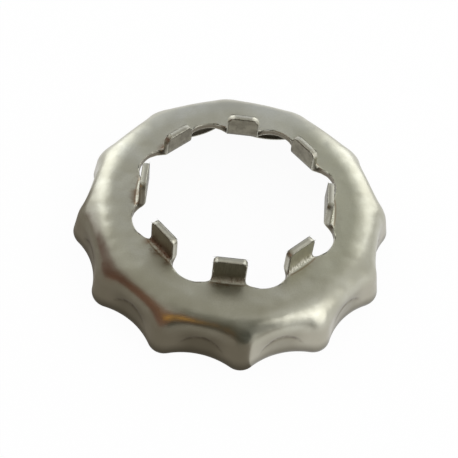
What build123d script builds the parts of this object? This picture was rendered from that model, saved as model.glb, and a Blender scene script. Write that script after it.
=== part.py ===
from build123d import *
import os
from math import atan2, cos, degrees, radians, sin, sqrt, tan

# Lock washer: one pressed piece of stainless sheet.
# A fluted cup stands on its rim, with a wide scalloped hole in its top and
# a ring of tabs folded up from the edge of that hole.
# Origin: centre of the rim plane. +Z runs up the axis. Lengths are mm.

# Sheet
sheet = 1.0

# Fluted skirt, measured on the outside of the sheet
lobe_count = 12
tip_radius = 24.0
flute_depth = 1.85
lobe_rounding = 2.5
wall_flare = 10.0
rim_curl = 2.1
rim_tuck = 38.0

# Crown
body_height = 8.6
shoulder_width = 5.2
crown_radius = 4.8
crown_drop = 56.0
shoulder_blend = 1.4

# Hole and tabs
tab_count = 8
tab_face_distance = 14.05
tab_width = 4.8
tab_height = 4.3
tab_corner = 0.7
bend_radius = 0.7
scallop_distance = 11.35
scallop_radius = 4.3
root_rounding = 0.4

# Tabs sit a quarter pitch of the lobes away from a lobe, so that every
# scallop is centred on a lobe or on a flute
lobe_pitch = 360 / lobe_count
tab_turn = -lobe_pitch / 4

# How far tools run past the faces they cut
rim_clearance = 0.1

# Strips are folded out to the middle of the scallops, and the spaces between
# the tabs are then cut through them
blank_width = 2 * scallop_distance * sin(radians(180 / tab_count))

# Worked out from the sizes above
half_pitch = lobe_pitch / 2
lobe_centre = tip_radius - lobe_rounding
flute_floor = tip_radius - flute_depth
flute_rounding = (
    lobe_rounding**2 - flute_floor**2 - lobe_centre**2
    + 2 * flute_floor * lobe_centre * cos(radians(half_pitch))
) / (2 * (flute_floor - lobe_centre * cos(radians(half_pitch)) - lobe_rounding))
flute_centre = flute_floor + flute_rounding
flute_x = flute_centre * cos(radians(half_pitch))
flute_y = flute_centre * sin(radians(half_pitch))
tangent_angle = degrees(atan2(flute_y, flute_x - lobe_centre))


def lobed_outline(inset):
    """Closed outline of tangent arcs, lobes and flutes, moved in by inset."""
    with BuildLine() as pitch:
        CenterArc((lobe_centre, 0), lobe_rounding - inset, -tangent_angle, 2 * tangent_angle)
        CenterArc(
            (flute_x, flute_y),
            flute_rounding + inset,
            tangent_angle + 180,
            -2 * (tangent_angle - half_pitch),
        )
    with BuildSketch() as outline:
        with BuildLine():
            with PolarLocations(0, lobe_count):
                add(pitch.line)
        make_face()
    return outline.sketch


def crown_profile(depth, base):
    """Half section of the crown, depth below its outer face, down to base."""
    top = body_height - depth
    with BuildSketch(Plane.XZ) as profile:
        with BuildLine():
            axis_line = Line((0, base), (0, top))
            flat = Line(axis_line @ 1, (tip_radius - shoulder_width, top))
            arc = JernArc(flat @ 1, (1, 0), crown_radius - depth, -crown_drop)
            run = (tip_radius + rim_clearance - (arc @ 1).X) / (arc % 1).X
            slope = Line(arc @ 1, arc @ 1 + (arc % 1) * run)
            Polyline(slope @ 1, ((slope @ 1).X, base), (0, base))
        make_face()
    return profile.sketch


def fluted_body(depth):
    """Solid inside the surface that lies depth below the outside of the sheet."""
    flare = radians(wall_flare)
    tuck = radians(rim_tuck)
    curl = rim_curl - depth
    widest = rim_curl * sin(tuck)
    base = widest - curl
    curl_end = widest - curl * sin(tuck)
    base_inset = rim_curl - curl * (1 + sin(flare)) / cos(flare)
    lip_drop = curl_end + rim_clearance
    lip_inset = rim_curl - curl * cos(tuck) + lip_drop * tan(tuck)
    with BuildPart() as body:
        # Flared wall with its lower edge curled in
        with BuildSketch(Plane.XY.offset(base)):
            add(lobed_outline(base_inset))
        extrude(amount=body_height - base, taper=wall_flare)
        fillet(body.faces().sort_by(Axis.Z)[0].edges(), curl)
        split(bisect_by=Plane.XY.offset(curl_end), keep=Keep.TOP)
        # Below the curl the sheet runs straight on, in and down, past the rim plane
        with BuildSketch(Plane.XY.offset(-rim_clearance)):
            add(lobed_outline(lip_inset))
        extrude(amount=lip_drop, taper=-rim_tuck)
        # Crown over the top
        add(crown_profile(depth, -rim_clearance))
        revolve(mode=Mode.INTERSECT)
    return body.part


def tab_blank():
    """One folded strip on +X, wider than a tab: the bend and the upright."""
    bend_start = tab_face_distance + bend_radius
    tab_top = body_height + tab_height
    with BuildPart() as blank:
        with BuildSketch(Plane.XZ):
            with BuildLine():
                joint = Line((bend_start, body_height), (bend_start, body_height - sheet))
                outside = JernArc(joint @ 1, (-1, 0), bend_radius + sheet, -90)
                inner = Line(outside @ 1, (tab_face_distance - sheet, tab_top))
                edge = Line(inner @ 1, (tab_face_distance, tab_top))
                face = Line(edge @ 1, (tab_face_distance, body_height + bend_radius))
                JernArc(face @ 1, (0, -1), bend_radius, 90)
            make_face()
        extrude(amount=blank_width / 2, both=True)
    return blank.part


def gap_outline():
    """Plan of one space between two tabs, on +X: straight sides and a scallop."""
    turn = radians(180 / tab_count)
    half_width = tab_width / 2
    side_offset = scallop_distance * sin(turn) - half_width
    side_end = scallop_distance * cos(turn) + sqrt(scallop_radius**2 - side_offset**2)
    corner_x = side_end * cos(turn) + half_width * sin(turn)
    corner_y = side_end * sin(turn) - half_width * cos(turn)
    floor_x = scallop_distance + scallop_radius
    apex = (half_width / sin(turn), 0)
    with BuildSketch() as gap:
        with BuildLine():
            Polyline((corner_x, -corner_y), apex, (corner_x, corner_y))
            ThreePointArc((corner_x, corner_y), (floor_x, 0), (corner_x, -corner_y))
        make_face()
        fillet(gap.vertices().sort_by(Axis.X)[-2:], root_rounding)
    return gap.sketch


with BuildPart() as lock_washer:
    # Skirt and crown: the sheet between an outer and an inner fluted surface,
    # with the crown's fold rounded over into the flutes on the outside
    add(fluted_body(0))
    crown = lock_washer.faces().filter_by(GeomType.TORUS).sort_by(SortBy.AREA)[-1]
    fillet(crown.edges().filter_by(GeomType.CIRCLE, reverse=True), shoulder_blend)
    add(fluted_body(sheet), mode=Mode.SUBTRACT)
    split(bisect_by=Plane.XY, keep=Keep.TOP)
    # The crown is open out to the lines where the tabs start to bend
    with BuildSketch(Plane.XY):
        Circle(tab_face_distance)
        with PolarLocations(0, tab_count, start_angle=tab_turn):
            Rectangle(
                tab_face_distance + bend_radius,
                blank_width,
                align=(Align.MIN, Align.CENTER),
            )
    extrude(amount=body_height, mode=Mode.SUBTRACT)
    with PolarLocations(0, tab_count, start_angle=tab_turn):
        add(tab_blank())
    # Spaces between the tabs, with their scallops, through flange and folds
    with BuildSketch(Plane.XY.offset(body_height - sheet)):
        with PolarLocations(0, tab_count, start_angle=tab_turn + 180 / tab_count):
            add(gap_outline())
    extrude(amount=sheet + tab_height, mode=Mode.SUBTRACT)
    tab_tops = lock_washer.faces().sort_by(Axis.Z)[-tab_count:]
    side_edges = [top.edges().sort_by(SortBy.LENGTH)[:2] for top in tab_tops]
    fillet([edge for pair in side_edges for edge in pair], tab_corner)

lock_washer.part.label = "lock_washer"
os.makedirs("parts", exist_ok=True)
export_step(lock_washer.part, "parts/lock_washer.step")
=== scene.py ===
from math import atan2, cos, exp, hypot, pi, radians, sin, sqrt, tan

import bmesh
import bpy
from mathutils import Matrix, Vector


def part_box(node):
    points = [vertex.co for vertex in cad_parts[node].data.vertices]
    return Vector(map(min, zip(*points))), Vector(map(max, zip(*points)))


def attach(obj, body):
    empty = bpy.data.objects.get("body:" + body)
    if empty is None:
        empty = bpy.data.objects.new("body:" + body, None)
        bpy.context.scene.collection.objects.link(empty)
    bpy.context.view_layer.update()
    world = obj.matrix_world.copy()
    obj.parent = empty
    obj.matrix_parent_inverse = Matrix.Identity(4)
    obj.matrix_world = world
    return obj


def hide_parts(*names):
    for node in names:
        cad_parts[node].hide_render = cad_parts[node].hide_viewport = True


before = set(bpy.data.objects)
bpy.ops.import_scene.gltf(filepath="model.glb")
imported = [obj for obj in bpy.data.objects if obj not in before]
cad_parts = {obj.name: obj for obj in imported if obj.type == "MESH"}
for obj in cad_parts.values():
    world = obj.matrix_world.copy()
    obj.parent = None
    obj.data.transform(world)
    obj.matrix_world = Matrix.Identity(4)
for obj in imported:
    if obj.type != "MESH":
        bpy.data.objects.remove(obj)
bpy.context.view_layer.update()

# Lock washer: one pressing of stainless sheet, with a fluted skirt, a ring of
# folded tabs and a tumbled, slightly stained finish.
# Shapes are worked out in millimetres and turned into metres once, at the end.
# Patterns in the materials are measured in millimetres too.

mm = 0.001

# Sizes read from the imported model, with a margin that keeps the mesh within its box
box_margin = 0.002
washer_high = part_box("lock_washer")[1]
tip_radius = washer_high[0] / mm - box_margin
overall_height = washer_high[2] / mm - box_margin

# Sheet and skirt
sheet = 1.0
lobe_count = 12
flute_depth = 1.95
lobe_rounding = 2.33
rim_curl = 2.1
rim_tuck = radians(38)
wall_flare = radians(12.3)

# Crown: flat round the hole, it eases down and then turns over the shoulder, where the
# flutes fade out
tab_height = 4.3
body_height = overall_height - tab_height
flat_radius = 17.6
easing_radius = 10.0
easing_turn = radians(9)
flute_fade = 1.6
flute_fade_power = 1.45

# The crease that arches over the foot of each flute, lower to its sides
crease_height = 4.8
crease_half_width = 3.1
crease_fall = 1.8
crease_depth = 0.11
crease_width = 0.34

# Hole and tabs
tab_count = 8
tab_turn = radians(-7.5)
tab_face_distance = 14.08
tab_width = 4.82
# How much each tab falls short of the full height and the radius of its top corners,
# counted round from the tab on the right
tabs = (
    (0.0, 0.8),
    (0.8, 1.1),
    (0.75, 1.2),
    (1.0, 1.1),
    (0.0, 0.8),
    (0.25, 0.8),
    (0.15, 0.7),
    (0.25, 0.8),
)
bend_radius = 0.7
scallop_distance = 11.35
scallop_radius = 4.3
root_rounding = 0.55

# Sheared edges, rounded by tumbling
edge_rounding = 0.17
edge_segments = 3
sharpest_smooth_angle = radians(42)

# Mesh fineness, and how near two points count as touching and are merged
near = 0.001
merge_distance = 0.0001
lip_overrun = 0.4
steps_around = 432
steps_per_tab = steps_around // tab_count
curl_steps = 8
wall_steps = 22
shoulder_steps = 15
easing_steps = 6
flange_steps = 10
fold_columns = 17
root_rows = 9
upright_rows = 12
corner_rows = 5

# Places of the materials on the washer's mesh, after the outside's
sheared = 1
underside = 2
tumbled_edge = 3

# Worked out from the sizes above: the tangent arcs of lobes and flutes, and the wall
half_pitch = pi / lobe_count
lobe_centre = tip_radius - lobe_rounding
flute_floor = tip_radius - flute_depth
flute_rounding = (
    lobe_rounding**2 - flute_floor**2 - lobe_centre**2
    + 2 * flute_floor * lobe_centre * cos(half_pitch)
) / (2 * (flute_floor - lobe_centre * cos(half_pitch) - lobe_rounding))
flute_centre = flute_floor + flute_rounding
joint_turn = atan2(
    flute_centre * sin(half_pitch), flute_centre * cos(half_pitch) - lobe_centre
)
joint_angle = atan2(
    lobe_rounding * sin(joint_turn), lobe_centre + lobe_rounding * cos(joint_turn)
)
wall_foot_height = rim_curl * (sin(rim_tuck) + sin(wall_flare))
wall_width = body_height * tan(wall_flare)

# The outline of the blank around the hole, seen from a tab's middle line: out is
# the distance from the axis along that line, across is the distance to its side
half_tab_pitch = pi / tab_count
half_tab = tab_width / 2
hole_ring = tab_face_distance + bend_radius
scallop_out = scallop_distance * cos(half_tab_pitch)
scallop_across = scallop_distance * sin(half_tab_pitch)
fold_half_length = scallop_across - sqrt(scallop_radius**2 - (hole_ring - scallop_out) ** 2)
root_centre_out = scallop_out + sqrt(
    (scallop_radius - root_rounding) ** 2 - (scallop_across - half_tab - root_rounding) ** 2
)
root_touch = scallop_radius / (scallop_radius - root_rounding)
root_touch_out = scallop_out + (root_centre_out - scallop_out) * root_touch
bend_length = bend_radius * pi / 2
full_blank_length = bend_length + tab_height - bend_radius


def run_on(bm, vertex, step, count):
    """Draws count straight edges on from a vertex and returns the last vertex."""
    for _ in range(count):
        vertex = bmesh.ops.extrude_vert_indiv(bm, verts=[vertex])["verts"][0]
        bmesh.ops.translate(bm, verts=[vertex], vec=step)
    return vertex


def turn_on(bm, vertex, centre, angle, count):
    """Draws an arc of count edges on from a vertex and returns the last vertex."""
    turned = bmesh.ops.spin(
        bm, geom=[vertex], cent=centre, axis=(0, 1, 0), angle=angle, steps=count, use_merge=False
    )["geom_last"]
    return [item for item in turned if isinstance(item, bmesh.types.BMVert)][0]


def profile_edge(bm):
    """Draws the outside of the sheet in half section, from below the rim up to the hole."""
    curl_centre = Vector((tip_radius - rim_curl, 0, rim_curl * sin(rim_tuck)))
    lip_end = curl_centre + rim_curl * Vector((cos(rim_tuck), 0, -sin(rim_tuck)))
    lip_run = lip_overrun * Vector((-tan(rim_tuck), 0, -1))
    wall_foot = curl_centre + rim_curl * Vector((cos(wall_flare), 0, sin(wall_flare)))
    easing_centre = Vector((flat_radius, 0, body_height - easing_radius))
    easing_end = Vector((sin(easing_turn), 0, cos(easing_turn)))
    easing_foot = easing_centre + easing_radius * easing_end
    # The shoulder's arc is tangent to the easing and to the wall
    wall_normal = Vector((cos(wall_flare), 0, sin(wall_flare)))
    shoulder_radius = (wall_foot - easing_foot).dot(wall_normal) / (1 - easing_end.dot(wall_normal))
    shoulder_centre = easing_foot - shoulder_radius * easing_end
    wall_run = shoulder_centre + shoulder_radius * wall_normal - wall_foot
    end = bm.verts.new(lip_end + lip_run)
    end = run_on(bm, end, -lip_run, 1)
    end = turn_on(bm, end, curl_centre, -(rim_tuck + wall_flare), curl_steps)
    end = run_on(bm, end, wall_run / wall_steps, wall_steps)
    end = turn_on(bm, end, shoulder_centre, wall_flare + easing_turn - pi / 2, shoulder_steps)
    end = turn_on(bm, end, easing_centre, -easing_turn, easing_steps)
    run_on(bm, end, Vector((hole_ring - flat_radius, 0, 0)) / flange_steps, flange_steps)


def flute_cut(angle):
    """How far the outline of lobes and flutes lies inside the tip circle at an angle."""
    off_lobe = abs((angle + half_pitch) % (2 * half_pitch) - half_pitch)
    if off_lobe < joint_angle:
        across = lobe_centre * sin(off_lobe)
        radius = lobe_centre * cos(off_lobe) + sqrt(lobe_rounding**2 - across**2)
    else:
        off_flute = half_pitch - off_lobe
        across = flute_centre * sin(off_flute)
        radius = flute_centre * cos(off_flute) - sqrt(flute_rounding**2 - across**2)
    return tip_radius - radius


def crease_dent(angle, radius, height):
    """How far the crease over the foot of the nearest flute is pressed in at a point."""
    off_lobe = abs((angle + half_pitch) % (2 * half_pitch) - half_pitch)
    reach = (half_pitch - off_lobe) * radius / crease_half_width
    above_crease = height - crease_height + crease_fall * reach**2
    return crease_depth * exp(-((above_crease / crease_width) ** 2) - reach**4)


def press_flutes(bm):
    """Moves the plain cup's wall in to form the flutes, which fade out over the shoulder, and
    the creases over their feet."""
    for vertex in bm.verts:
        radius = hypot(vertex.co.x, vertex.co.y)
        if radius < flat_radius + near:
            continue
        angle = atan2(vertex.co.y, vertex.co.x)
        inward = tip_radius - radius if vertex.co.z > wall_foot_height else 0.0
        fade = exp(-((inward / flute_fade) ** flute_fade_power))
        dent = crease_dent(angle, radius, vertex.co.z) if inward < wall_width else 0.0
        pressed = (radius - flute_cut(angle) * fade - dent) / radius
        vertex.co.x *= pressed
        vertex.co.y *= pressed


def blank_half_width(unfolded, blank_length, corner):
    """Half width of the flat blank at a distance past the line where a tab starts to fold."""
    out = hole_ring - unfolded
    from_top = blank_length - unfolded
    if out > root_touch_out:
        return scallop_across - sqrt(scallop_radius**2 - (out - scallop_out) ** 2)
    if out > root_centre_out:
        rise = sqrt(root_rounding**2 - (out - root_centre_out) ** 2)
        return half_tab + root_rounding - rise
    if from_top < corner:
        return half_tab - corner + sqrt(corner**2 - (corner - from_top) ** 2)
    return half_tab


def folded(unfolded):
    """Distance from the axis and height of a point past the fold line, after folding."""
    if unfolded < bend_length:
        turn = unfolded / bend_radius
        return hole_ring - bend_radius * sin(turn), body_height + bend_radius * (1 - cos(turn))
    return tab_face_distance, body_height + bend_radius + unfolded - bend_length


def tab_rows(blank_length, corner):
    """Distances past the fold line of a tab's rows, close together where its outline curves."""
    root_end = hole_ring - root_centre_out
    corner_start = blank_length - corner
    upright_step = (corner_start - root_end) / upright_rows
    rows = [root_end * (row + 1) / root_rows for row in range(root_rows)]
    rows += [root_end + upright_step * (row + 1) for row in range(upright_rows)]
    rows += [
        corner_start + corner * sin(pi / 2 * (row + 1) / corner_rows)
        for row in range(corner_rows)
    ]
    return rows


def hole_point(step):
    """A point of the hole's edge on the flange, counted in steps from a tab's middle line."""
    if abs(step) <= fold_columns:
        return Vector((hole_ring, fold_half_length * step / fold_columns, body_height))
    side = 1 if step > 0 else -1
    start = atan2(fold_half_length, hole_ring)
    share = (abs(step) - fold_columns) / (steps_per_tab / 2 - fold_columns)
    angle = start + (half_tab_pitch - start) * share
    off_scallop = half_tab_pitch - angle
    across = scallop_distance * sin(off_scallop)
    radius = scallop_distance * cos(off_scallop) + sqrt(scallop_radius**2 - across**2)
    return Vector((radius * cos(angle), side * radius * sin(angle), body_height))


def tab_place(number):
    """Turn that takes a tab's middle line from +X to its place around the hole."""
    return Matrix.Rotation(tab_turn + number * 2 * half_tab_pitch, 3, "Z")


def cut_hole(bm):
    """Draws the flange's rings in to the scalloped edge of the hole."""
    step_angle = 2 * pi / steps_around
    for vertex in bm.verts:
        radius = hypot(vertex.co.x, vertex.co.y)
        if vertex.co.z < body_height - near or radius > flat_radius + near:
            continue
        angle = atan2(vertex.co.y, vertex.co.x) - tab_turn
        nearest_tab = round(angle / (2 * half_tab_pitch))
        step = round((angle - nearest_tab * 2 * half_tab_pitch) / step_angle)
        share = (flat_radius - radius) / (flat_radius - hole_ring)
        outer = vertex.co * (flat_radius / radius)
        outer.z = body_height
        vertex.co = outer.lerp(tab_place(nearest_tab) @ hole_point(step), share)


def fold_tab(bm, number):
    """Draws one tab on from the flange's edge, row by row, along its folded blank."""
    shortfall, corner = tabs[number]
    blank_length = full_blank_length - shortfall
    place = tab_place(number)
    back = place.inverted()
    edges = []
    for edge in bm.edges:
        if not edge.is_boundary:
            continue
        middle = back @ ((edge.verts[0].co + edge.verts[1].co) / 2)
        on_fold = abs(middle.x - hole_ring) < near and abs(middle.y) < fold_half_length
        if on_fold and abs(middle.z - body_height) < near:
            edges.append(edge)
    last_width = fold_half_length
    for unfolded in tab_rows(blank_length, corner):
        made = bmesh.ops.extrude_edge_only(bm, edges=edges)["geom"]
        vertices = [item for item in made if isinstance(item, bmesh.types.BMVert)]
        edges = [item for item in made if isinstance(item, bmesh.types.BMEdge)]
        edges = [edge for edge in edges if all(vertex in vertices for vertex in edge.verts)]
        out, height = folded(unfolded)
        width = blank_half_width(unfolded, blank_length, corner)
        for vertex in vertices:
            across = (back @ vertex.co).y / last_width * width
            vertex.co = place @ Vector((out, across, height))
        last_width = width


def thicken(bm):
    """Gives the sheet its wall, inwards, and marks its sheared faces and its underside."""
    through = bm.verts.layers.float.new("through_sheet")
    outside = set(bm.verts)
    bmesh.ops.solidify(bm, geom=bm.faces[:], thickness=sheet)
    for vertex in bm.verts:
        vertex[through] = 0.0 if vertex in outside else 1.0
    for face in bm.faces:
        on_outside = sum(vertex in outside for vertex in face.verts)
        if on_outside == 0:
            face.material_index = underside
        elif on_outside < len(face.verts):
            face.material_index = sheared


def level_rim(bm):
    """Cuts the lip off level at the plane that the washer stands on."""
    bmesh.ops.bisect_plane(
        bm, geom=bm.verts[:] + bm.edges[:] + bm.faces[:], dist=near,
        plane_co=(0, 0, 0), plane_no=(0, 0, -1), clear_outer=True,
    )
    open_edges = [edge for edge in bm.edges if edge.is_boundary]
    for face in bmesh.ops.bridge_loops(bm, edges=open_edges)["faces"]:
        face.material_index = sheared


def pressed_washer():
    """The whole washer as one closed mesh, in metres."""
    bm = bmesh.new()
    profile_edge(bm)
    bmesh.ops.spin(
        bm, geom=bm.verts[:] + bm.edges[:], cent=(0, 0, 0), axis=(0, 0, 1),
        angle=2 * pi, steps=steps_around, use_merge=True,
    )
    bmesh.ops.remove_doubles(bm, verts=bm.verts, dist=merge_distance)
    press_flutes(bm)
    cut_hole(bm)
    for number in range(tab_count):
        fold_tab(bm, number)
    bmesh.ops.recalc_face_normals(bm, faces=bm.faces)
    # The flange has to face up, so that the wall goes inwards
    highest = max(bm.faces, key=lambda face: face.normal.z ** 2)
    if highest.normal.z < 0:
        bmesh.ops.reverse_faces(bm, faces=bm.faces)
    thicken(bm)
    level_rim(bm)
    bmesh.ops.scale(bm, vec=(mm, mm, mm), verts=bm.verts)
    mesh = bpy.data.meshes.new("pressed_washer")
    bm.to_mesh(mesh)
    bm.free()
    return mesh


def add_washer(materials):
    """Puts the washer in the scene with its materials, its edges rounded by tumbling."""
    mesh = pressed_washer()
    for material in materials:
        mesh.materials.append(material)
    for polygon in mesh.polygons:
        polygon.use_smooth = True
    washer = bpy.data.objects.new("washer_pressing", mesh)
    bpy.context.scene.collection.objects.link(washer)
    rounding = washer.modifiers.new("tumbled_edges", "BEVEL")
    rounding.limit_method = "ANGLE"
    rounding.angle_limit = sharpest_smooth_angle
    rounding.width = edge_rounding * mm
    rounding.segments = edge_segments
    rounding.use_clamp_overlap = False
    rounding.material = tumbled_edge
    normals = washer.modifiers.new("even_shading", "WEIGHTED_NORMAL")
    normals.keep_sharp = True
    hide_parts("lock_washer")
    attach(washer, "root")


# Shader nodes: each helper adds one node, or a few, and returns the output
def connect(tree, source, socket):
    """Links an output to a socket, or sets the socket to a plain value."""
    if isinstance(source, bpy.types.NodeSocket):
        tree.links.new(source, socket)
    else:
        socket.default_value = source


def value_node(tree, operation, *sources):
    """Adds a Math node; a source is a number or another node's output."""
    node = tree.nodes.new("ShaderNodeMath")
    node.operation = operation
    for socket, source in zip(node.inputs, sources):
        connect(tree, source, socket)
    return node.outputs["Value"]


def ramp_node(tree, source, low, high, start=0.0, end=1.0):
    """Adds a smooth Map Range from low..high to start..end."""
    node = tree.nodes.new("ShaderNodeMapRange")
    node.interpolation_type = "SMOOTHSTEP"
    for name, value in (("Value", source), ("From Min", low), ("From Max", high),
                        ("To Min", start), ("To Max", end)):
        connect(tree, value, node.inputs[name])
    return node.outputs["Result"]


def noise_node(tree, place, fineness, detail, roughness):
    """Adds a noise with about fineness spots to a millimetre."""
    node = tree.nodes.new("ShaderNodeTexNoise")
    for name, value in (("Vector", place), ("Scale", fineness), ("Detail", detail),
                        ("Roughness", roughness)):
        connect(tree, value, node.inputs[name])
    return node.outputs["Fac"]


def mix_node(tree, share, first, second):
    """Adds a colour Mix that goes from first to second with share."""
    node = tree.nodes.new("ShaderNodeMix")
    node.data_type = "RGBA"
    # Sockets 6 and 7 and output 2 are the ones for colours
    connect(tree, share, node.inputs["Factor"])
    connect(tree, first, node.inputs[6])
    connect(tree, second, node.inputs[7])
    return node.outputs[2]


def stretch_node(tree, place, factors):
    """Multiplies a place by three factors, one for each axis."""
    node = tree.nodes.new("ShaderNodeVectorMath")
    node.operation = "MULTIPLY"
    connect(tree, place, node.inputs[0])
    node.inputs[1].default_value = factors
    return node.outputs["Vector"]


def all_of(tree, *masks):
    """Multiplies masks together."""
    result = masks[0]
    for mask in masks[1:]:
        result = value_node(tree, "MULTIPLY", result, mask)
    return result


def line_mask(tree, value, middle, soft, solid):
    """Mask of a line where a value is near its middle."""
    distance = value_node(tree, "ABSOLUTE", value_node(tree, "SUBTRACT", value, middle))
    return ramp_node(tree, distance, soft, solid)


def place_in_mm(tree):
    """A point's place in the washer's own frame, in millimetres."""
    coordinates = tree.nodes.new("ShaderNodeTexCoord")
    return stretch_node(tree, coordinates.outputs["Object"], (1 / mm, 1 / mm, 1 / mm))


def place_values(tree, place):
    """X, distance from the axis, height, and the distances round to a flute and to a tab."""
    parts = tree.nodes.new("ShaderNodeSeparateXYZ")
    connect(tree, place, parts.inputs[0])
    across, along, height = parts.outputs
    from_axis = value_node(tree, "SQRT", value_node(
        tree, "ADD", value_node(tree, "MULTIPLY", across, across),
        value_node(tree, "MULTIPLY", along, along),
    ))
    angle = value_node(tree, "ARCTAN2", along, across)
    off_lobe = value_node(tree, "PINGPONG", angle, half_pitch)
    off_flute = value_node(tree, "SUBTRACT", half_pitch, off_lobe)
    off_tab = value_node(
        tree, "PINGPONG", value_node(tree, "SUBTRACT", angle, tab_turn), half_tab_pitch
    )
    flute_side = value_node(tree, "MULTIPLY", off_flute, from_axis)
    tab_side = value_node(tree, "MULTIPLY", off_tab, from_axis)
    return across, from_axis, height, flute_side, tab_side


def new_group(name, inputs, outputs):
    """Starts a shader node group with named inputs and outputs, all of them numbers."""
    tree = bpy.data.node_groups.new(name, "ShaderNodeTree")
    for socket_name in inputs:
        tree.interface.new_socket(socket_name, in_out="INPUT", socket_type="NodeSocketFloat")
    for socket_name in outputs:
        tree.interface.new_socket(socket_name, in_out="OUTPUT", socket_type="NodeSocketFloat")
    return tree, tree.nodes.new("NodeGroupInput").outputs


def end_group(tree, **results):
    """Feeds a group's outputs by their names and returns the finished group."""
    group_output = tree.nodes.new("NodeGroupOutput")
    for name, result in results.items():
        tree.links.new(result, group_output.inputs[name])
    return tree


def use_group(tree, group, *values):
    """Places a node group in a material with its own values and returns its outputs."""
    node = tree.nodes.new("ShaderNodeGroup")
    node.node_tree = group
    for socket, value in zip(node.inputs, values):
        socket.default_value = value
    return node.outputs


# Detail and roughness of the noises in the grain
smudge_noise = (2.0, 0.5)
patch_noise = (4.0, 0.6)
speckle_noise = (3.0, 0.65)
streak_noise = (2.0, 0.6)
dent_noise = (2.0, 0.5)

# The part of each noise's range over which its mask goes from none to all
smudge_range = (0.35, 0.65)
patch_range = (0.3, 0.7)
speckle_range = (0.3, 0.7)
streak_range = (0.38, 0.62)

# The streaks are drawn out along the axis; peening is dents with speckle over them
drawn_out = (1.0, 1.0, 0.12)
streak_fineness = 5.0
dent_fineness = 2.0
dent_share = 0.6


def grain_group():
    """Tumbled grain: soft smudges, cloudy patches, fine speckle, drawn streaks and peening."""
    tree, inputs = new_group(
        "tumbled_grain", ("Smudge Fineness", "Patch Fineness", "Speckle Fineness"),
        ("Smudges", "Patches", "Speckle", "Streaks", "Peening"),
    )
    place = place_in_mm(tree)
    smudges = noise_node(tree, place, inputs["Smudge Fineness"], *smudge_noise)
    patches = noise_node(tree, place, inputs["Patch Fineness"], *patch_noise)
    speckle = noise_node(tree, place, inputs["Speckle Fineness"], *speckle_noise)
    drawn_place = stretch_node(tree, place, drawn_out)
    streaks = noise_node(tree, drawn_place, streak_fineness, *streak_noise)
    dents = noise_node(tree, place, dent_fineness, *dent_noise)
    fine_dents = value_node(tree, "MULTIPLY", speckle, 1 - dent_share)
    return end_group(
        tree,
        Smudges=ramp_node(tree, smudges, *smudge_range),
        Patches=ramp_node(tree, patches, *patch_range),
        Speckle=ramp_node(tree, speckle, *speckle_range),
        Streaks=ramp_node(tree, streaks, *streak_range),
        Peening=value_node(tree, "MULTIPLY_ADD", dents, dent_share, fine_dents),
    )


# Where the wear and the painted shade lie, in millimetres; each pair runs from none of it to all of
# it.
# Radii are distances from the axis, and a reach is to each side of a flute or a tab.
on_wall_radii = (18.5, 20.0)
on_flange_radii = (19.0, 17.0)
# Painted shade on the right of the flange: its radii, then its distances to the right of the axis
haze_radii = (20.5, 17.5)
haze_sides = (5.0, 16.0)
# Heights of the painted shade down the wall and at the rim, and its reach in the flutes
wall_heights = (6.8, 4.4)
rim_heights = (3.0, 0.5)
flute_reach = (4.2, 1.2)
fold_radii = (hole_ring + 1.4, hole_ring - 0.1)
fold_heights = (body_height + 1.3, body_height + 0.5)
stain_reach = (half_tab + 1.4, half_tab - 0.4)
bend_radii = (hole_ring + 0.3, hole_ring + 0.1)
bend_heights_from = (body_height, body_height + 0.1)
bend_heights_to = (body_height + bend_radius + 0.6, body_height + bend_radius - 0.1)
# A line of painted shade in the groove at each tab's fold
groove_radius = hole_ring + 0.08
groove_spread = (0.2, 0.03)
groove_reach = (half_tab + 0.3, half_tab - 0.2)
on_tab_heights = (body_height - 0.4, body_height + 0.5)

# Across the washer, from its right side to its left, the stains and their painted shade get stronger
# and the bends' pale burnish and painted highlight fainter
right_to_left = (6.0, -6.0)
stain_on_right = 0.2
bend_on_left = 0.3

# Spots of wear: the detail and roughness of their noise, and the part of its range over
# which the stains set in
spot_noise = (3.0, 0.6)
stained_range = (0.42, 0.62)

# The dark line of painted shade in a crease is stronger in the spots than between them, and it
# wanders up and down a little with them
crease_range = (0.36, 0.6)
crease_between_spots = 0.25
crease_wander = 0.3
crease_spread = (0.6, 0.0)
crease_reach = (crease_half_width + 0.5, crease_half_width - 0.9)


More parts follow.
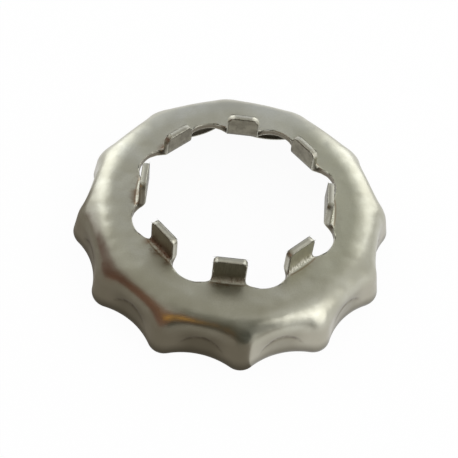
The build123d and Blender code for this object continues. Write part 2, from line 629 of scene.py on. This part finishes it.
def wear_group():
    """Masks, one each: painted shade down the wall, in the flutes, at the rim, in the creases, on the
    right of the flange and in the grooves; stains with painted shade at the tab roots; bends pale
    from burnish and painted highlight; tabs; flange.
    """
    tree, inputs = new_group(
        "pressing_wear", ("Spot Fineness",),
        ("Wall", "Rim", "Flute", "Crease", "Haze", "Stain", "Bend", "Groove", "Tab", "Flange"),
    )
    place = place_in_mm(tree)
    across, from_axis, height, flute_side, tab_side = place_values(tree, place)
    spots = noise_node(tree, place, inputs["Spot Fineness"], *spot_noise)
    on_wall = ramp_node(tree, from_axis, *on_wall_radii)
    wall = all_of(tree, on_wall, ramp_node(tree, height, *wall_heights))
    reach = value_node(tree, "DIVIDE", flute_side, crease_half_width)
    fall = value_node(tree, "MULTIPLY", value_node(tree, "MULTIPLY", reach, reach), crease_fall)
    lowest_wander = crease_height - crease_wander / 2
    wander = value_node(tree, "MULTIPLY_ADD", spots, crease_wander, lowest_wander)
    arch = value_node(tree, "SUBTRACT", wander, fall)
    return end_group(
        tree,
        # Painted shade down the wall, deeper in the flutes and darkest at the rim
        Wall=wall,
        Rim=all_of(tree, on_wall, ramp_node(tree, height, *rim_heights)),
        Flute=all_of(tree, wall, ramp_node(tree, flute_side, *flute_reach)),
        # Painted shade along each crease
        Crease=all_of(
            tree, on_wall, line_mask(tree, height, arch, *crease_spread),
            ramp_node(tree, flute_side, *crease_reach),
            ramp_node(tree, spots, *crease_range, crease_between_spots, 1.0),
        ),
        # Painted shade on the right of the flange
        Haze=all_of(
            tree, ramp_node(tree, from_axis, *haze_radii), ramp_node(tree, across, *haze_sides),
        ),
        # A stain with painted shade in the corner at each tab's root, stronger on the left
        Stain=all_of(
            tree, ramp_node(tree, from_axis, *fold_radii), ramp_node(tree, height, *fold_heights),
            ramp_node(tree, tab_side, *stain_reach), ramp_node(tree, spots, *stained_range),
            ramp_node(tree, across, *right_to_left, stain_on_right, 1.0),
        ),
        # Bends: pale partly from burnish and partly as a painted highlight, stronger on the right
        Bend=all_of(
            tree, ramp_node(tree, from_axis, *bend_radii),
            ramp_node(tree, height, *bend_heights_from), ramp_node(tree, height, *bend_heights_to),
            ramp_node(tree, across, *right_to_left, 1.0, bend_on_left),
        ),
        # Painted shade in the groove at each tab's fold
        Groove=all_of(
            tree, line_mask(tree, from_axis, groove_radius, *groove_spread),
            ramp_node(tree, tab_side, *groove_reach),
        ),
        Tab=ramp_node(tree, height, *on_tab_heights),
        Flange=ramp_node(tree, from_axis, *on_flange_radii),
    )


tumbled_grain = grain_group()
pressing_wear = wear_group()


def start_material(name, fineness):
    """A metal with its shader and its grain, of smudges, patches and speckle as fine as given."""
    material = bpy.data.materials.new(name)
    material.use_nodes = True
    tree = material.node_tree
    shader = tree.nodes["Principled BSDF"]
    shader.inputs["Metallic"].default_value = 1.0
    return material, tree, shader, use_group(tree, tumbled_grain, *fineness)


def uneven_gloss(tree, shader, mask, smooth, rough):
    """Lets the shader's roughness go from smooth to rough with a mask."""
    connect(tree, ramp_node(tree, mask, 0.0, 1.0, smooth, rough), shader.inputs["Roughness"])


def roughen(tree, shader, height, depth, strength):
    """Feeds a height pattern, depth millimetres deep, to the shader's normal."""
    bump = tree.nodes.new("ShaderNodeBump")
    bump.inputs["Distance"].default_value = depth * mm
    bump.inputs["Strength"].default_value = strength
    tree.links.new(height, bump.inputs["Height"])
    tree.links.new(bump.outputs["Normal"], shader.inputs["Normal"])


# Colours of the steel where it is clean, clouded, stained or burnished, and where painted shade or a
# painted highlight lies on it
steel_colour = (0.535, 0.53, 0.455, 1)
patch_colour = (0.43, 0.42, 0.34, 1)
smudge_colour = (0.38, 0.365, 0.285, 1)
# Painted shade on the right of the flange
haze_colour = (0.37, 0.365, 0.275, 1)
# Painted shade: the wall, flute and rim colours darken the wall towards its foot and in the flutes;
# the flute colour also draws the streaks on the tabs
wall_colour = (0.41, 0.39, 0.32, 1)
flute_colour = (0.28, 0.262, 0.205, 1)
rim_colour = (0.13, 0.118, 0.09, 1)
# Painted shade in the creases
crease_colour = (0.08, 0.06, 0.05, 1)
# A stain with painted shade, at the tab roots and in the grooves
stain_colour = (0.2, 0.12, 0.07, 1)
# Partly burnish and partly a painted highlight, on the bends of the tabs
burnished_colour = (0.8, 0.79, 0.7, 1)
sheared_colour = (0.56, 0.55, 0.47, 1)
torn_colour = (0.4, 0.385, 0.32, 1)
scallop_colour = (0.17, 0.15, 0.115, 1)
inside_colour = (0.24, 0.225, 0.175, 1)
inside_patch_colour = (0.15, 0.138, 0.105, 1)
# Painted shade inside the cup
cup_colour = (0.09, 0.08, 0.06, 1)
edge_colour = (0.3, 0.288, 0.235, 1)

# Fineness of each finish's smudges, patches and speckle, and of its spots of wear
satin_grain = (0.16, 0.62, 4.5)
satin_spots = 0.9
inside_grain = (0.3, 0.8, 4.0)
inside_spots = 0.9
sheared_grain = (0.5, 0.9, 5.5)
sheared_spots = 1.5
edge_grain = (0.3, 0.8, 5.5)

# Roughness of each finish, from its smooth patches to its rough ones, and what the
# flange and the bends of the tabs add to it
satin_roughness = (0.29, 0.34)
flange_roughness = 0.03
bend_roughness = 0.3
inside_roughness = (0.36, 0.48)
sheared_roughness = (0.34, 0.46)
edge_roughness = 0.42

# Depth in millimetres and strength of the peening, and how many times as deep the soft
# waves under the smudges are
satin_peening = (0.025, 0.38)
dull_peening = (0.06, 0.4)
wave_depth = 7.0

# How far through the sheet a cut face turns from sheared to torn, and how much of the
# torn colour clouds the sheared strip
torn_range = (0.4, 0.6)
torn_clouds = 0.4


def satin_steel():
    """The outside: tumbled to a satin, with painted shade down the wall, in the flutes, at the rim,
    in the creases, in the grooves and on the right of the flange, its stains with painted shade at
    the roots of the tabs and its bends pale from burnish and painted highlight."""
    material, tree, shader, grain = start_material("satin_steel", satin_grain)
    wear = use_group(tree, pressing_wear, satin_spots)
    # Each layer lies where its mask is, as thick as its share, in its colour
    layers = (
        (grain["Smudges"], 0.6, smudge_colour),
        (grain["Patches"], 0.5, patch_colour),
        (grain["Speckle"], 0.3, patch_colour),
        # Painted shade on the right of the flange
        (wear["Haze"], 0.85, haze_colour),
        # Painted shade down the wall, deeper in the flutes and darkest at the rim
        (wear["Wall"], 1.0, wall_colour),
        (wear["Flute"], 1.0, flute_colour),
        (wear["Rim"], 1.0, rim_colour),
        # Painted shade in the creases
        (wear["Crease"], 0.55, crease_colour),
        # A stain with painted shade at the roots of the tabs, stronger on the left
        (wear["Stain"], 0.75, stain_colour),
        (all_of(tree, wear["Tab"], grain["Streaks"]), 0.3, flute_colour),
        # The bends are pale partly from burnish and partly as a painted highlight, stronger on the
        # right
        (all_of(tree, wear["Bend"], grain["Streaks"]), 0.9, burnished_colour),
        # Painted shade in the groove at each tab's fold
        (wear["Groove"], 0.5, stain_colour),
    )
    colour = steel_colour
    for mask, share, layer_colour in layers:
        colour = mix_node(tree, value_node(tree, "MULTIPLY", mask, share), colour, layer_colour)
    connect(tree, colour, shader.inputs["Base Color"])
    rough = ramp_node(tree, grain["Patches"], 0.0, 1.0, *satin_roughness)
    rough = value_node(tree, "MULTIPLY_ADD", wear["Flange"], flange_roughness, rough)
    rough = value_node(tree, "MULTIPLY_ADD", wear["Bend"], bend_roughness, rough)
    connect(tree, rough, shader.inputs["Roughness"])
    waves = value_node(tree, "MULTIPLY_ADD", grain["Smudges"], wave_depth, grain["Peening"])
    roughen(tree, shader, waves, *satin_peening)
    return material


def dull_underside():
    """The inside of the cup and of the tabs: never polished, darker and rougher, and the inside of
    the cup darker still with painted shade.
    """
    material, tree, shader, grain = start_material("dull_underside", inside_grain)
    tab = use_group(tree, pressing_wear, inside_spots)["Tab"]
    colour = mix_node(tree, grain["Patches"], inside_colour, inside_patch_colour)
    # Painted shade: below the tabs, the inside of the cup is much darker
    colour = mix_node(tree, tab, cup_colour, colour)
    connect(tree, colour, shader.inputs["Base Color"])
    uneven_gloss(tree, shader, grain["Speckle"], *inside_roughness)
    roughen(tree, shader, grain["Peening"], *dull_peening)
    return material


def sheared_steel():
    """Cut faces: a bright sheared strip next to the outside and a darker torn one inside."""
    material, tree, shader, grain = start_material("sheared_steel", sheared_grain)
    tab = use_group(tree, pressing_wear, sheared_spots)["Tab"]
    depth = tree.nodes.new("ShaderNodeAttribute")
    depth.attribute_name = "through_sheet"
    torn = ramp_node(tree, depth.outputs["Fac"], *torn_range)
    colour = mix_node(tree, torn, sheared_colour, torn_colour)
    clouds = value_node(tree, "MULTIPLY", grain["Patches"], torn_clouds)
    colour = mix_node(tree, clouds, colour, torn_colour)
    colour = mix_node(tree, tab, scallop_colour, colour)
    connect(tree, colour, shader.inputs["Base Color"])
    uneven_gloss(tree, shader, grain["Speckle"], *sheared_roughness)
    roughen(tree, shader, grain["Peening"], *dull_peening)
    return material


def burnished_edge():
    """Edges rubbed bright by tumbling."""
    material, tree, shader, grain = start_material("burnished_edge", edge_grain)
    colour = mix_node(tree, grain["Speckle"], edge_colour, sheared_colour)
    connect(tree, colour, shader.inputs["Base Color"])
    shader.inputs["Roughness"].default_value = edge_roughness
    return material


add_washer([satin_steel(), sheared_steel(), dull_underside(), burnished_edge()])

# Studio: a white floor and white surroundings, soft lamps, and cloths and cards that the
# steel mirrors. Lengths are in metres. Directions are round the washer from +X, and height
# angles up from the floor, both in degrees.
floor_size = 6.0
floor_colour = (0.95, 0.95, 0.95, 1)
floor_roughness = 0.9
floor_glow = 0.96
surroundings_glow = 0.74

# name, direction, height angle, distance, width, height, colour
cards = (
    ("ceiling_card", 140, 74, 0.66, 0.9, 0.66, (0.475, 0.465, 0.415)),
    ("pale_card_right", 8, 34, 0.68, 0.78, 1.1, (0.76, 0.76, 0.74)),
    ("pale_card_back", 86, 22, 0.68, 0.54, 0.76, (0.66, 0.68, 0.74)),
    ("grey_cloth_above", -88, 66, 0.61, 0.5, 0.25, (0.17, 0.17, 0.14)),
    ("dark_cloth_front", -90, 25, 0.6, 0.65, 0.78, (0.05, 0.055, 0.042)),
    ("brown_cloth_left", -177, 18, 0.62, 0.62, 0.7, (0.14, 0.07, 0.05)),
    ("red_card_left", -137, 22, 0.61, 0.44, 0.7, (0.21, 0.1, 0.07)),
    ("gold_card_left", -125, 32, 0.56, 0.09, 0.15, (1.55, 0.8, 0.09)),
)
# name, direction, height angle, distance, width, height, glow, colour
lamps = (
    ("lamp_back_left", 119, 21, 0.6, 0.24, 0.64, 1.5, (0.96, 0.985, 1.0)),
    ("lamp_back_right", 47, 18, 0.6, 0.34, 0.62, 1.32, (0.97, 0.99, 1.0)),
    ("lamp_front_right", -35, 31, 0.6, 0.27, 0.62, 1.6, (1.0, 1.0, 1.0)),
)
# A dark sheet on the floor at the front and left that only the steel mirrors, as painted shade of the
# floor by the washer, and how far it is from the axis
floor_cloth_direction = -142
floor_cloth_distance = 0.013
floor_cloth_height = 0.0004
floor_cloth_width = 0.8
floor_cloth_length = 0.5
floor_cloth_colour = (0.3, 0.275, 0.24)


def facing_washer(azimuth, elevation, distance):
    """Place and turn of a flat card or lamp that faces the washer from a direction."""
    side = radians(azimuth)
    rise = radians(elevation)
    outward = Vector((cos(rise) * cos(side), cos(rise) * sin(side), sin(rise)))
    turn = outward.to_track_quat("Z", "Y").to_matrix().to_4x4()
    return Matrix.Translation(outward * distance) @ turn


def on_floor(azimuth, distance):
    """Place of a sheet that lies on the floor in a direction from the washer."""
    turn = Matrix.Rotation(radians(azimuth), 4, "Z")
    return turn @ Matrix.Translation((distance, 0, floor_cloth_height))


def flat_sheet(name, width, height):
    """A flat rectangle in the scene, centred on the origin."""
    bm = bmesh.new()
    # A grid's size is half its side, so this one is 1 by 1 until it is scaled
    half_side = 0.5
    bmesh.ops.create_grid(bm, x_segments=1, y_segments=1, size=half_side)
    bmesh.ops.scale(bm, vec=(width, height, 1), verts=bm.verts)
    mesh = bpy.data.meshes.new(name)
    bm.to_mesh(mesh)
    bm.free()
    made = bpy.data.objects.new(name, mesh)
    bpy.context.scene.collection.objects.link(made)
    return made


def add_card(name, place, width, height, colour):
    """A card or cloth that only the steel mirrors; it is out of every picture and casts no shadow."""
    card = flat_sheet(name, width, height)
    card.matrix_world = place
    card.visible_camera = False
    card.visible_diffuse = False
    card.visible_shadow = False
    material = bpy.data.materials.new(name)
    material.use_nodes = True
    tree = material.node_tree
    tree.nodes.remove(tree.nodes["Principled BSDF"])
    glow = tree.nodes.new("ShaderNodeEmission")
    glow.inputs["Color"].default_value = (*colour, 1)
    tree.links.new(glow.outputs[0], tree.nodes["Material Output"].inputs["Surface"])
    card.data.materials.append(material)


def add_lamp(name, azimuth, elevation, distance, width, height, glow, colour):
    """A soft box lamp that looks as bright as glow times white."""
    light = bpy.data.lights.new(name, "AREA")
    light.shape = "RECTANGLE"
    light.size = width
    light.size_y = height
    light.energy = glow * pi * width * height
    light.color = colour
    lamp = bpy.data.objects.new(name, light)
    lamp.matrix_world = facing_washer(azimuth, elevation, distance)
    lamp.visible_camera = False
    bpy.context.scene.collection.objects.link(lamp)


def seen_directly(tree):
    """1 for the camera's rays and for rays mirrored or let through, 0 for scattered light."""
    path = tree.nodes.new("ShaderNodeLightPath")
    mirrored = value_node(tree, "ADD", path.outputs["Is Camera Ray"], path.outputs["Is Glossy Ray"])
    return value_node(tree, "ADD", mirrored, path.outputs["Is Transmission Ray"])


def add_floor():
    """White floor that keeps a faint shadow. It looks as white to the steel as to the camera."""
    floor = flat_sheet("floor", floor_size, floor_size)
    material = bpy.data.materials.new("white_floor")
    material.use_nodes = True
    tree = material.node_tree
    surface = tree.nodes["Principled BSDF"]
    surface.inputs["Base Color"].default_value = floor_colour
    surface.inputs["Roughness"].default_value = floor_roughness
    glow = tree.nodes.new("ShaderNodeEmission")
    mix = tree.nodes.new("ShaderNodeMixShader")
    share = value_node(tree, "MULTIPLY", seen_directly(tree), floor_glow)
    connect(tree, share, mix.inputs["Fac"])
    tree.links.new(surface.outputs[0], mix.inputs[1])
    tree.links.new(glow.outputs[0], mix.inputs[2])
    tree.links.new(mix.outputs[0], tree.nodes["Material Output"].inputs["Surface"])
    floor.data.materials.append(material)


def add_surroundings():
    """Even white light from all around, as white to the steel as to the camera."""
    world = bpy.data.worlds.new("white_surroundings")
    bpy.context.scene.world = world
    world.use_nodes = True
    tree = world.node_tree
    background = tree.nodes["Background"]
    background.inputs["Color"].default_value = (1, 1, 1, 1)
    strength = value_node(tree, "MAXIMUM", seen_directly(tree), surroundings_glow)
    connect(tree, strength, background.inputs["Strength"])


add_floor()
add_surroundings()
for name, azimuth, elevation, distance, width, height, colour in cards:
    add_card(name, facing_washer(azimuth, elevation, distance), width, height, colour)
# Painted shade: a dark sheet on the floor that only the steel mirrors, darkening the floor seen in
# the wall
add_card(
    "cloth_on_floor", on_floor(floor_cloth_direction, floor_cloth_distance + floor_cloth_length / 2),
    floor_cloth_length, floor_cloth_width, floor_cloth_colour,
)
for lamp in lamps:
    add_lamp(*lamp)

# Camera at the photograph's viewpoint, fitted to the washer's outline. Where no pixels
# are meant, lengths are in millimetres.
image_pixels = 458
sensor_width = 36.0
focal_pixels = 1157.75
camera_distance = 174.59
camera_elevation = radians(53.99)
camera_azimuth = radians(-9.46)
camera_roll = radians(7.76)
middle_x_pixels = 230.68
middle_y_pixels = 246.05
aim_right_pixels = 2.0
aim_up_pixels = -26.0
aim_height = 4.03
nearest_seen = 10.0


def add_camera():
    """Camera that looks down at the washer, rolled a little, as the photograph was taken."""
    data = bpy.data.cameras.new("viewpoint")
    data.sensor_width = sensor_width
    data.lens = sensor_width * focal_pixels / image_pixels
    image_middle = (image_pixels - 1) / 2
    data.shift_x = (image_middle - middle_x_pixels) / image_pixels
    data.shift_y = (middle_y_pixels - image_middle) / image_pixels
    data.clip_start = nearest_seen * mm
    forward = Vector((0, cos(camera_elevation), -sin(camera_elevation)))
    upward = Vector((0, sin(camera_elevation), cos(camera_elevation)))
    level = Vector((1, 0, 0))
    right = level * cos(camera_roll) + upward * sin(camera_roll)
    up = upward * cos(camera_roll) - level * sin(camera_roll)
    aim = (up * aim_up_pixels - right * aim_right_pixels) / focal_pixels
    place = (aim - forward) * camera_distance + Vector((0, 0, aim_height))
    axes = Matrix((right, up, -forward)).transposed().to_4x4()
    camera = bpy.data.objects.new("viewpoint", data)
    camera.matrix_world = (
        Matrix.Rotation(camera_azimuth, 4, "Z") @ Matrix.Translation(place * mm) @ axes
    )
    bpy.context.scene.collection.objects.link(camera)
    bpy.context.scene.camera = camera


add_camera()
bpy.context.scene.view_settings.view_transform = "Standard"
